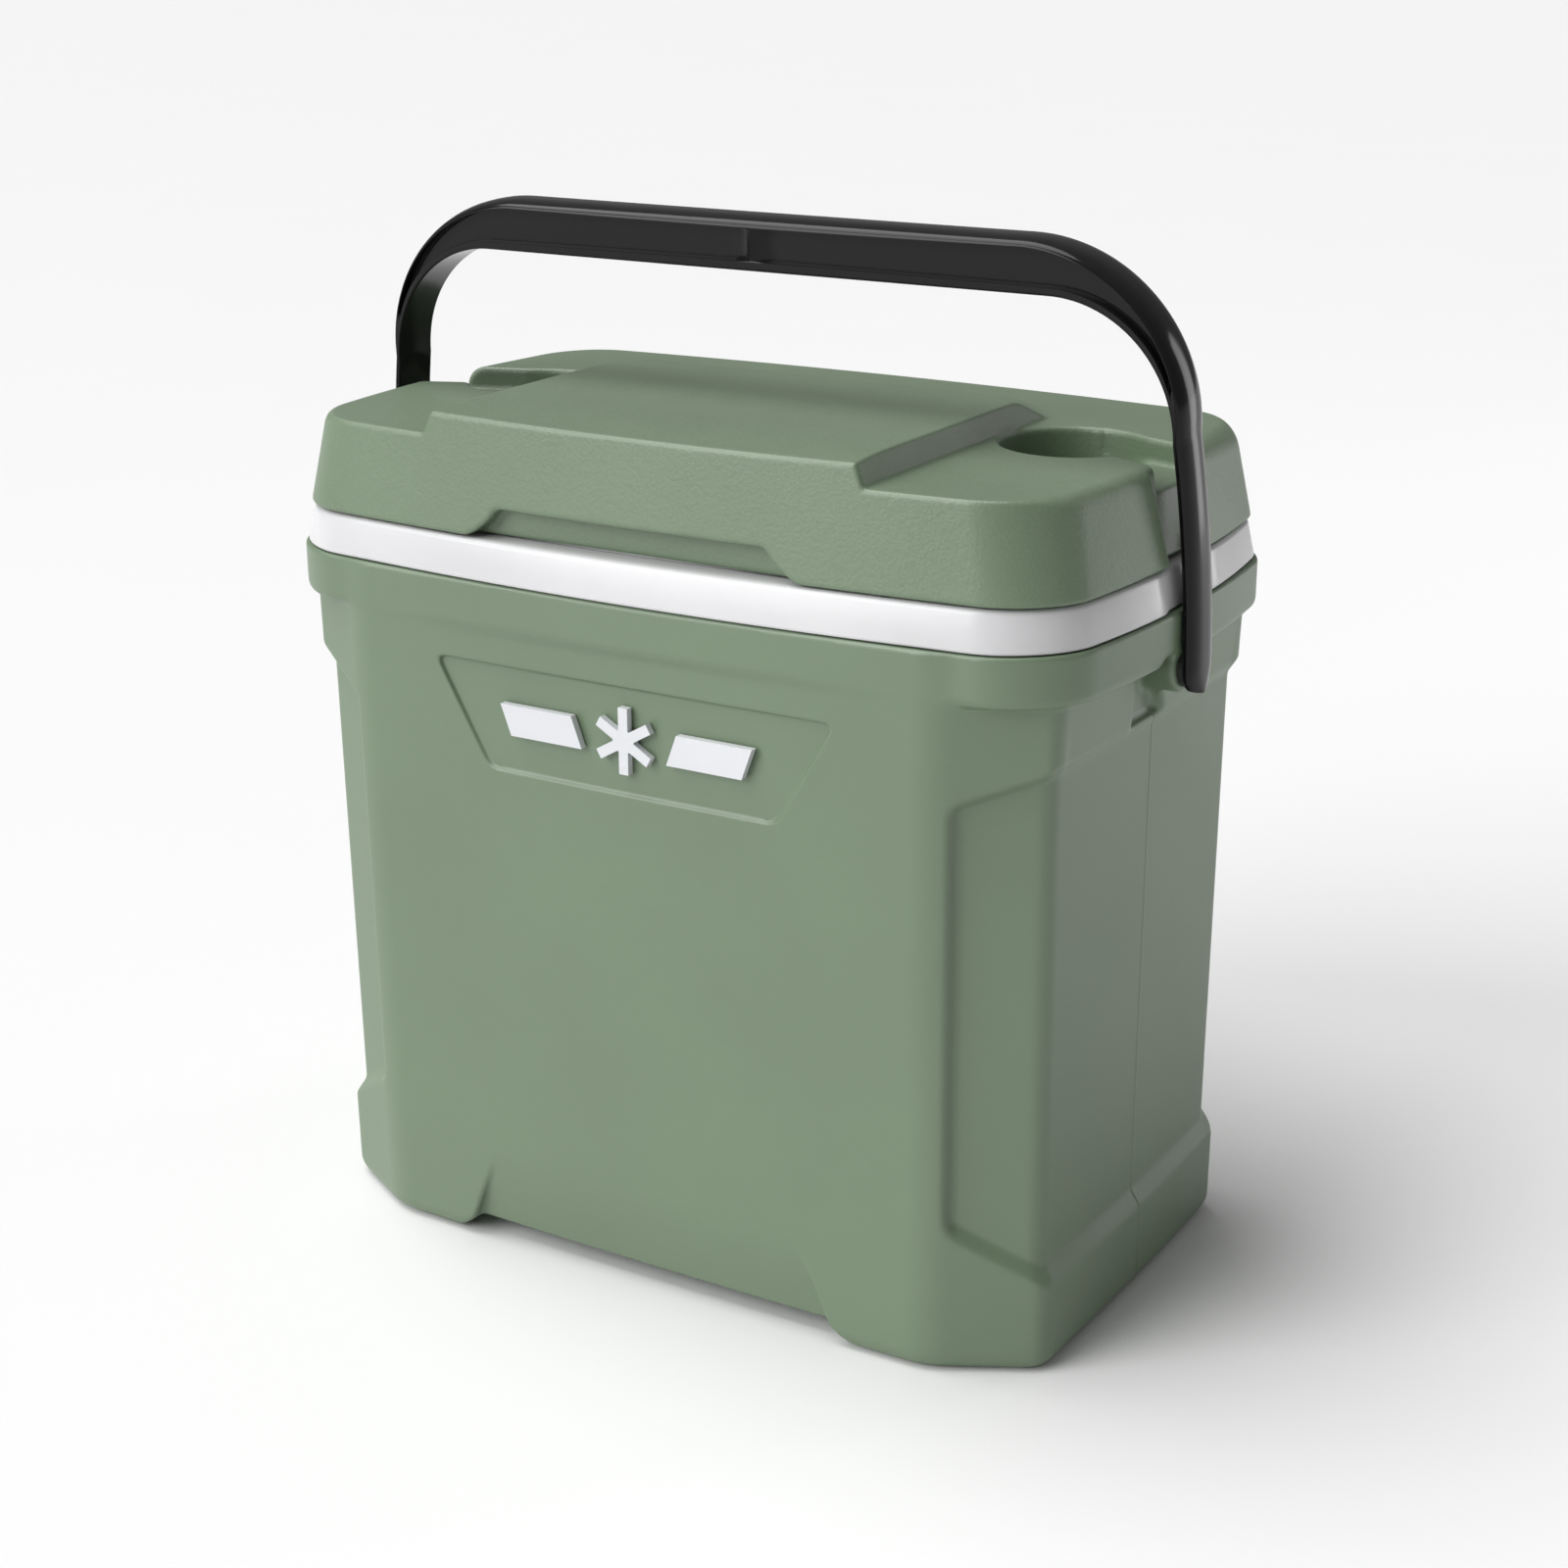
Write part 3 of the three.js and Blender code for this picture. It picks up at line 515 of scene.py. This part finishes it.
def toe_field(x, y, z):
    """The slanted strip above the arch, on the front and the back."""
    front = wall_plan(x, y, z)[1]
    slant = -(front + TOE_SLANT * (TOE_Z - z)) * 0.98
    reach = (np.abs(x) - ARCH_HALF + 0.42 * (z - ARCH_Z)) * 0.92
    return both(slant, reach, 2.5)


def plaque_field(x, y, z):
    """A shallow badge panel pressed into the front: a trapezoid, wider at the top."""
    side = (np.abs(x) - PLAQUE_TOP + (PLAQUE_HIGH - z) * PLAQUE_LEAN) / math.hypot(1.0, PLAQUE_LEAN)
    outline = both(both(side, z - PLAQUE_HIGH, 6.0), PLAQUE_LOW - z, 6.0)
    depth = 1.6 + 0.9 * ease(z, PLAQUE_LOW, PLAQUE_HIGH)
    front = wall_plan(x, y, z)[1]
    return both(outline, both(-front - depth, y), 0.6)


def shoulder_pocket(x, y, z):
    """The scoop in each end below the collar, in front of the handle's arm."""
    inner = 213.5 - np.abs(x)
    low = 314.0 - z
    high = z - 351.0
    ahead = -30.0 - y
    behind = y + 3.0 - (335.0 - z) * 0.45
    return both(both(both(low, high, 10.0), both(ahead, behind, 10.0), 6.0), inner, 6.0)


def make_body():
    along = two_sided((0.0, 68.0, 4.0), (68.0, 126.0, 1.1), (126.0, 156.0, 3.0), (156.0, 240.0, 1.5))
    deep = two_sided((0.0, 2.0, 0.4), (2.0, 40.0, 1.9), (40.0, 76.0, 4.0), (76.0, 150.0, 1.5))
    up = steps((-4.0, 18.0, 1.3), (18.0, 36.0, 2.5), (36.0, 96.0, 1.5), (96.0, 268.0, 5.0),
               (268.0, 336.0, 1.1), (336.0, COLLAR_TOP + 3.0, 1.3))
    body = moulded("cooler_body", body_field, (along, deep, up), SAGE_BODY, "tub")
    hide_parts("body_shell", "body_foam")


# ---------------------------------------------------------------------------
# Tub liner and its white rim band
# ---------------------------------------------------------------------------

CORNER_STEPS, SIDE_STEPS = 24, 20
TUB_WIDE, TUB_DEEP = 190.0, 113.0                 # half sizes of the tub's mouth
RIM_WIDE, RIM_DEEP, RIM_CORNER = 234.2, 143.3, 39.5


def plan_ring(half_x, half_y, corner, z, bow_x=END_BOW, bow_y=FRONT_BOW):
    """One ring of a rounded rectangle with bowed sides, evenly stepped along each side and corner."""
    ring = []
    for turn in range(4):
        start = turn * math.pi / 2
        sign_x, sign_y = ((1, -1), (1, 1), (-1, 1), (-1, -1))[turn]
        centre = (sign_x * (half_x - corner), sign_y * (half_y - corner))
        for step in range(CORNER_STEPS + 1):
            angle = start - math.pi / 2 + step / CORNER_STEPS * math.pi / 2
            ring.append((centre[0] + corner * math.cos(angle), centre[1] + corner * math.sin(angle)))
        next_x, next_y = ((1, 1), (-1, 1), (-1, -1), (1, -1))[turn]
        begin = ring[-1]
        if turn % 2:
            meets = (next_x * (half_x - corner), next_y * half_y)
        else:
            meets = (next_x * half_x, next_y * (half_y - corner))
        for share in np.arange(1, SIDE_STEPS) / SIDE_STEPS:
            ring.append(tuple(begin[n] + (meets[n] - begin[n]) * share for n in range(2)))
    flat = np.array(ring)
    bowed_x = flat[:, 0] * (1 - bow_x / half_x * (flat[:, 1] / half_y) ** 2)
    bowed_y = flat[:, 1] * (1 - bow_y / half_y * (flat[:, 0] / half_x) ** 2)
    return np.stack([bowed_x, bowed_y, np.full(len(flat), z)], axis=1)


def straight_rings(half_x, half_y, levels):
    """Rings with straight sides, one for each (growth, height, corner radius)."""
    return [plan_ring(half_x + grow, half_y + grow, corner, z, 0.0, 0.0) for grow, z, corner in levels]


def arm_recess(ring, depth):
    """Presses the ends in where the handle's arms pass."""
    near = 1.0 - ease(np.abs(ring[:, 1]), 22.0, 27.0)
    at_end = ease(np.abs(ring[:, 0]), 205.0, 215.0)
    ring[:, 0] -= np.sign(ring[:, 0]) * depth * near * at_end
    return ring


def rounded_profile(corners, radius, per_corner=5):
    """Rounds the bends of a profile given as (inset, z) corners."""
    out = [np.array(corners[0], float)]
    for before, here, after in zip(corners, corners[1:], corners[2:]):
        before, here, after = (np.array(p, float) for p in (before, here, after))
        reach = min(radius, np.linalg.norm(here - before) * 0.48, np.linalg.norm(after - here) * 0.48)
        start = here + (before - here) / np.linalg.norm(before - here) * reach
        end = here + (after - here) / np.linalg.norm(after - here) * reach
        for share in np.linspace(0.0, 1.0, per_corner):
            out.append((1 - share) ** 2 * start + 2 * share * (1 - share) * here + share ** 2 * end)
    out.append(np.array(corners[-1], float))
    return out


def make_liner():
    """Walked from the middle of the floor's underside, up and over the rim, and down to the floor inside."""
    low, high = COLLAR_TOP + 0.6, RIM_TOP
    rings = straight_rings(TUB_WIDE, TUB_DEEP, (
        (-60.0, 45.0, 12.0), (-16.0, 45.0, 20.0), (-8.0, 47.0, 27.0), (-4.0, 53.0, 31.0), (-2.4, 70.0, 33.0),
        (0.4, 220.0, 34.0), (2.8, low - 1.0, 34.0), (3.6, low, 35.0), (6.0, low + 0.2, 36.0)))
    band = rounded_profile([
        (6.0, low + 0.2), (0.6, low), (0.0, low + 1.0), (3.2, high - 1.4), (5.2, high), (30.0, high)], 1.6)
    for inset, z in band:
        ring = plan_ring(RIM_WIDE - inset, RIM_DEEP - inset * 1.15, RIM_CORNER - inset * 0.6, z)
        rings.append(arm_recess(ring, 2.6))
    rings += straight_rings(TUB_WIDE, TUB_DEEP, (
        (5.0, high, 38.0), (1.5, high - 0.6, 35.0), (0.3, high - 2.5, 34.0), (-0.2, high - 12.0, 34.0),
        (-2.5, 220.0, 34.0), (-5.2, 72.0, 33.0), (-6.5, 56.0, 31.0), (-10.0, 50.0, 27.0),
        (-17.0, 48.0, 20.0), (-60.0, 47.9, 12.0)))
    liner = lofted("tub_liner_and_rim", rings, WHITE_RIM, "tub")
    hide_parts("tub_liner")


# ---------------------------------------------------------------------------
# Lid
# ---------------------------------------------------------------------------

CUP_X, CUP_Y, CUP_R = 162.0, 16.0, 36.0


def lid_field(x, y, z):
    rise = (z - LID_FOOT) / (DECK_Z - LID_FOOT)
    half_x = 230.8 - 9.0 * rise
    half_y = 138.6 - 5.4 * rise
    wall = rounded_plan(x, y, half_x, half_y, 37.0)
    edge = 2.2 + 6.0 * ease(np.abs(x), 190.0, 216.0) + 4.0 * ease(y, 0.0, 110.0)
    top = either(z - DECK_Z, panel_field(x, y, z), 1.6)
    solid = both(wall, top, edge)
    solid = both(solid, LID_FOOT - z, 1.6)
    solid = without(solid, cup_field(x, y, z), 3.0)
    solid = without(solid, arm_channel(x, y, z), 3.0)
    solid = without(solid, finger_recess(x, y, z), 2.2)
    return without(solid, leaf_seats(x, y, z), 0.4)


def panel_field(x, y, z):
    """The raised middle: flat, easing down to the front crest, with slanted sides and back."""
    crown = both(z - PANEL_Z, z - (PANEL_Z - 1.6) - (y + 132.0) * 0.06, 0.6)
    side = (np.abs(x) - 121.0 + (z - PANEL_Z) * 0.42) * 0.92
    back = z - PANEL_Z + (y - 50.0) * 0.26
    corner = (z - PANEL_Z + ((np.abs(x) - 112.0) + (y - 44.0)) * 0.4) * 0.87
    return both(both(both(crown, back, 2.0), corner, 3.0), side, 1.0)


def cup_field(x, y, z):
    """Cup holder with a way out through the end, for a finger beside the can."""
    across, along = np.abs(x) - CUP_X, y - CUP_Y
    cup = both(np.hypot(across, along) - CUP_R, 413.0 - z, 3.0)
    behind = 0.316 * (np.abs(x) - 165.0) + 0.949 * (y - 51.0)
    ahead = -0.389 * (np.abs(x) - 195.0) - 0.921 * (y + 5.0)
    notch = both(both(behind, ahead, 3.0), both(428.0 - z, CUP_X - np.abs(x), 3.0), 3.0)
    return either(cup, notch, 3.0)


def arm_channel(x, y, z):
    wide = np.abs(y) - 17.0 - (z - LID_FOOT) * 0.155
    inner = 223.0 - (z - LID_FOOT) * 0.06 - np.abs(x)
    return both(wide * 0.99, inner, 4.0)


def finger_recess(x, y, z):
    lift = z - LID_FOOT
    ends = np.abs(x) - 78.0 - 17.0 * np.clip(1.0 - lift / 15.0, 0.0, 1.3) ** 1.5
    return both(both(ends * 0.8, lift - 15.0, 3.5), y + 127.0, 2.0)


def leaf_seats(x, y, z):
    slope = 5.4 / 46.9
    back = (138.4 - 2.9 - slope * (z - LID_FOOT)) - y
    return both(both(back, np.abs(np.abs(x) - 105.0) - 23.0), z - 428.0)


def make_lid():
    along = two_sided((0.0, 64.0, 3.0), (64.0, 108.0, 1.5), (108.0, 238.0, 1.1))
    deep = steps((-144.0, -120.0, 1.1), (-120.0, -100.0, 2.0), (-100.0, -40.0, 3.0), (-40.0, 60.0, 1.1),
                 (60.0, 118.0, 2.6), (118.0, 144.0, 1.3))
    up = steps((LID_FOOT - 3.0, LID_FOOT + 18.0, 1.1), (LID_FOOT + 18.0, PANEL_Z + 3.0, 1.2))
    lid = moulded("cooler_lid", lid_field, (along, deep, up), SAGE_LID, "lid")
    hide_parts("lid_shell", "lid_foam")


PAN_WIDE, PAN_DEEP = 229.0, 136.5                 # half sizes of the lid's inside at its foot
PLUG_WIDE, PLUG_DEEP = 183.0, 106.0               # half sizes of the plug


def make_lid_underside():
    """The white pan under the lid: a flange inside the skirt and a shallow plug."""
    flange = rounded_profile([(30.0, 392.8), (11.4, 392.8), (10.8, 393.4), (10.8, 398.5)], 0.8)
    rings = [plan_ring(PAN_WIDE - inset, PAN_DEEP - inset, 34.0, z) for inset, z in flange[::-1]]
    rings += straight_rings(PLUG_WIDE, PLUG_DEEP, (
        (3.2, 392.8, 30.0), (2.4, 392.0, 29.0), (2.0, 390.5, 28.5), (1.0, 379.0, 28.0),
        (-0.6, 373.5, 27.0), (-3.0, 371.0, 25.0), (-7.0, 370.1, 22.0), (-50.0, 370.0, 14.0)))
    pan = lofted("lid_underside_pan", rings[::-1], WHITE_UNDERSIDE, "lid")
    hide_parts("lid_liner")


# ---------------------------------------------------------------------------
# Bail handle
# ---------------------------------------------------------------------------

LEAN = math.radians(2.4)
HALF_WIDE = 14.0
ARM_REACH = 143.5                                 # height over which the arms follow the end bow
INNER_EDGE = {"foot": 236.4, "rise": 108.5, "radius": 65.0, "top": 173.5}
OUTER_EDGE = {"foot": 242.8, "rise": 112.0, "radius": 88.0, "top": 200.0}


def bail_line(foot, rise, radius, top):
    """Half of one edge of the handle seen from the front, from the tip up to the middle of the bar.
    Returns points (x, height above the pivot)."""
    tip = -HALF_WIDE * np.cos(np.linspace(0.02, math.pi / 2, 22)[:-1])
    heights = list(tip) + list(np.linspace(0.0, rise, 34))
    arm = [(foot - END_BOW * (h / ARM_REACH) ** 2, h) for h in heights]
    centre_x, centre_h = arm[-1][0] - radius, top - radius
    turn = [(centre_x + radius * math.cos(a), centre_h + radius * math.sin(a))
            for a in np.linspace(0, math.pi / 2, 40)[1:]]
    bar = [(x, top) for x in np.linspace(turn[-1][0], 0.0, 22)[1:]]
    return np.array(arm + turn + bar)


def make_handle():
    inner, outer = bail_line(**INNER_EDGE), bail_line(**OUTER_EDGE)
    inner = np.concatenate([inner, inner[-2::-1] * [-1, 1]])
    outer = np.concatenate([outer, outer[-2::-1] * [-1, 1]])
    rings = []
    for (ix, iz), (ox, oz) in zip(inner, outer):
        thick = math.hypot(ox - ix, oz - iz)
        height = (iz + oz) / 2
        below = max(0.0, -height)
        half = math.sqrt(max(HALF_WIDE ** 2 - below ** 2, 0.3))
        rings.append(bail_section((ix, iz), (ox, oz), thick, half, pocket_depth((ix + ox) / 2, height)))
    rings = [[(x, y * math.cos(LEAN) - h * math.sin(LEAN), PIVOT[2] + h * math.cos(LEAN) + y * math.sin(LEAN))
              for x, y, h in ring] for ring in rings]
    handle = lofted("bail_handle_moulding", rings, BLACK_GLOSS, "handle")
    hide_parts("bail_handle")


def pocket_depth(x, height):
    """The channel in both faces of the bar: it ends part way down each corner, and has a middle rib."""
    reach = float(ease(np.array(height), 133.0, 139.0))
    rib = float(ease(np.array(abs(x)), 1.2, 3.0))
    return 5.0 * reach * rib


def bail_section(inner, outer, thick, half, pocket):
    """One section: domed on the outer face, with a channel in the front and the back."""
    crown = min(5.4, thick * 0.8, half * 0.6)
    edge = min(1.4, thick * 0.2, half * 0.4)
    lip = min(4.6, thick * 0.27)
    outline = []
    for sign_t, sign_y in ((1, -1), (1, 1), (-1, 1), (-1, -1)):
        radius = crown if sign_t > 0 else edge
        reach = min(radius * 2.2, half * 0.9) if sign_t > 0 else radius
        for step in range(7):
            angle = step / 6 * math.pi / 2
            if sign_t * sign_y < 0:
                away, over = math.sin(angle), math.cos(angle)
            else:
                away, over = math.cos(angle), math.sin(angle)
            t = thick / 2 - radius + radius * away
            outline.append((sign_t * t, sign_y * (half - reach + reach * over)))
        if (sign_t, sign_y) in ((1, 1), (-1, -1)):
            outline += channel_points(thick, half, lip, pocket, sign_t, sign_y, crown, edge)
    ix, iz = inner
    ox, oz = outer
    mid = ((ix + ox) / 2, (iz + oz) / 2)
    unit = ((ox - ix) / thick, (oz - iz) / thick)
    return [(mid[0] + unit[0] * t, y, mid[1] + unit[1] * t) for t, y in outline]


def channel_points(thick, half, lip, pocket, sign_t, sign_y, crown, edge):
    """The channel's outline from one lip to the other. Where the channel has ended it lies flush."""
    outer_lip, inner_lip = thick / 2 - max(lip, crown * 0.9), thick / 2 - max(lip, edge)
    start, end = (outer_lip, -inner_lip) if sign_t > 0 else (-inner_lip, outer_lip)
    inward = -1.0 if sign_t > 0 else 1.0
    wall = min(0.7, thick * 0.08)
    walk = [
        (start, 0.0), (start + inward * wall * 0.5, 0.12), (start + inward * wall, 1.0),
        ((start + end) / 2, 1.0),
        (end - inward * wall, 1.0), (end - inward * wall * 0.5, 0.12), (end, 0.0)]
    return [(t, sign_y * (half - pocket * share)) for t, share in walk]


# ---------------------------------------------------------------------------
# CAD nodes that keep their own shape
# ---------------------------------------------------------------------------

KEPT = {
    "pivot_pin": ROD_STEEL, "pin_clip": ROD_STEEL, "pivot_bush": BLACK_BUSH,
    "hinge_body_leaf": HINGE_STEEL, "hinge_lid_leaf": HINGE_STEEL, "hinge_pin": ROD_STEEL,
    "badge": BADGE_WHITE, "body_screw": SCREW_STEEL, "lid_screw": SCREW_STEEL,
}


def finish_kept_nodes():
    for name, node in frame["nodes"].items():
        for start, material in KEPT.items():
            if name.startswith(start):
                node.data.materials.clear()
                node.data.materials.append(material)


# ---------------------------------------------------------------------------
# Floor, lights and camera
# ---------------------------------------------------------------------------

BACKDROP, ROOM_FRONT, ROOM_BACK = 0.92, 0.24, 0.20
FLOOR_HALF = 40.0


def make_floor():
    material = bpy.data.materials.new("studio_floor")
    material.use_nodes = True
    tree = material.node_tree
    shader = tree.nodes["Principled BSDF"]
    place = tree.nodes.new("ShaderNodeTexCoord").outputs["Object"]
    drift = noise(tree, place, 3.0, 2.0)
    paper = tinted(tree, drift, (0.745, 0.745, 0.745, 1.0), (0.755, 0.755, 0.755, 1.0))
    linked(tree, shader, Base_Color=paper)
    shader.inputs["Roughness"].default_value = 0.6
    mesh = bpy.data.meshes.new("floor")
    corners = [(x * FLOOR_HALF, y * FLOOR_HALF, 0.0) for x, y in ((-1, -1), (1, -1), (1, 1), (-1, 1))]
    mesh.from_pydata(corners, [], [(0, 1, 2, 3)])
    floor = bpy.data.objects.new("floor", mesh)
    bpy.context.scene.collection.objects.link(floor)
    mesh.materials.append(material)


def soft_sun(name, source, strength, spread):
    """A broad far light, so that the floor is evenly lit and shadows are soft."""
    lamp = bpy.data.lights.new(name, "SUN")
    lamp.energy = strength * math.pi
    lamp.angle = math.radians(spread)
    holder = bpy.data.objects.new(name, lamp)
    bpy.context.scene.collection.objects.link(holder)
    holder.rotation_euler = Vector(source).to_track_quat("Z", "Y").to_euler()


def strip_light(name, place, aim, size, power):
    """A tall panel off to one side, for a long pale streak down the glossy handle."""
    lamp = bpy.data.lights.new(name, "AREA")
    lamp.shape = "RECTANGLE"
    lamp.size, lamp.size_y = size
    lamp.energy = power
    holder = bpy.data.objects.new(name, lamp)
    bpy.context.scene.collection.objects.link(holder)
    holder.location = place
    holder.rotation_euler = (Vector(aim) - Vector(place)).to_track_quat("-Z", "Y").to_euler()


def light_studio():
    """A white sweep seen by the camera; the room that lights the cooler is bright ahead and dim behind."""
    world = bpy.data.worlds.new("studio")
    bpy.context.scene.world = world
    world.use_nodes = True
    tree = world.node_tree
    seen = tree.nodes.new("ShaderNodeBackground")
    linked(tree, seen, Color=(1.0, 1.0, 1.0, 1.0), Strength=BACKDROP)
    room = tree.nodes["Background"]
    toward = tree.nodes.new("ShaderNodeVectorMath")
    toward.operation = "DOT_PRODUCT"
    tree.links.new(tree.nodes.new("ShaderNodeTexCoord").outputs["Generated"], toward.inputs[0])
    toward.inputs[1].default_value = Vector((-0.45, -0.75, 0.5)).normalized()
    linked(tree, room, Color=(1.0, 1.0, 1.0, 1.0),
           Strength=stretch(tree, toward.outputs["Value"], -0.75, 0.75, ROOM_BACK, ROOM_FRONT))
    chosen = tree.nodes.new("ShaderNodeMixShader")
    tree.links.new(tree.nodes.new("ShaderNodeLightPath").outputs["Is Camera Ray"], chosen.inputs[0])
    tree.links.new(room.outputs[0], chosen.inputs[1])
    tree.links.new(seen.outputs[0], chosen.inputs[2])
    tree.links.new(chosen.outputs[0], tree.nodes["World Output"].inputs["Surface"])
    soft_sun("key", (-0.45, -0.78, 0.47), 0.77, 42.0)
    soft_sun("overhead", (-0.35, -0.1, 0.93), 0.80, 46.0)
    strip_light("right_strip", (1.5, 2.2, 0.55), (0.0, 0.0, 0.4), (0.55, 1.7), 8.0)
    bpy.context.scene.view_settings.view_transform = "Standard"


def place_camera():
    camera = bpy.data.cameras.new("camera")
    camera.sensor_width = 36.0
    camera.lens = 62.2
    holder = bpy.data.objects.new("camera", camera)
    bpy.context.scene.collection.objects.link(holder)
    yaw, pitch, roll = (math.radians(v) for v in (31.487, 18.852, -0.259))
    forward = Vector((-math.sin(yaw) * math.cos(pitch), math.cos(yaw) * math.cos(pitch), -math.sin(pitch)))
    right = Vector((math.cos(yaw), math.sin(yaw), 0.0))
    up = right.cross(forward)
    turned_right = right * math.cos(roll) + up * math.sin(roll)
    turned_up = up * math.cos(roll) - right * math.sin(roll)
    axes = Matrix((turned_right, turned_up, -forward)).transposed()
    eye = Vector((722.2, -1170.5 + TUB_Y, 709.9)) * MM
    holder.matrix_world = Matrix.Translation(eye) @ axes.to_4x4()
    bpy.context.scene.camera = holder


make_body()
make_liner()
make_lid()
make_lid_underside()
make_handle()
finish_kept_nodes()
make_floor()
light_studio()
place_camera()
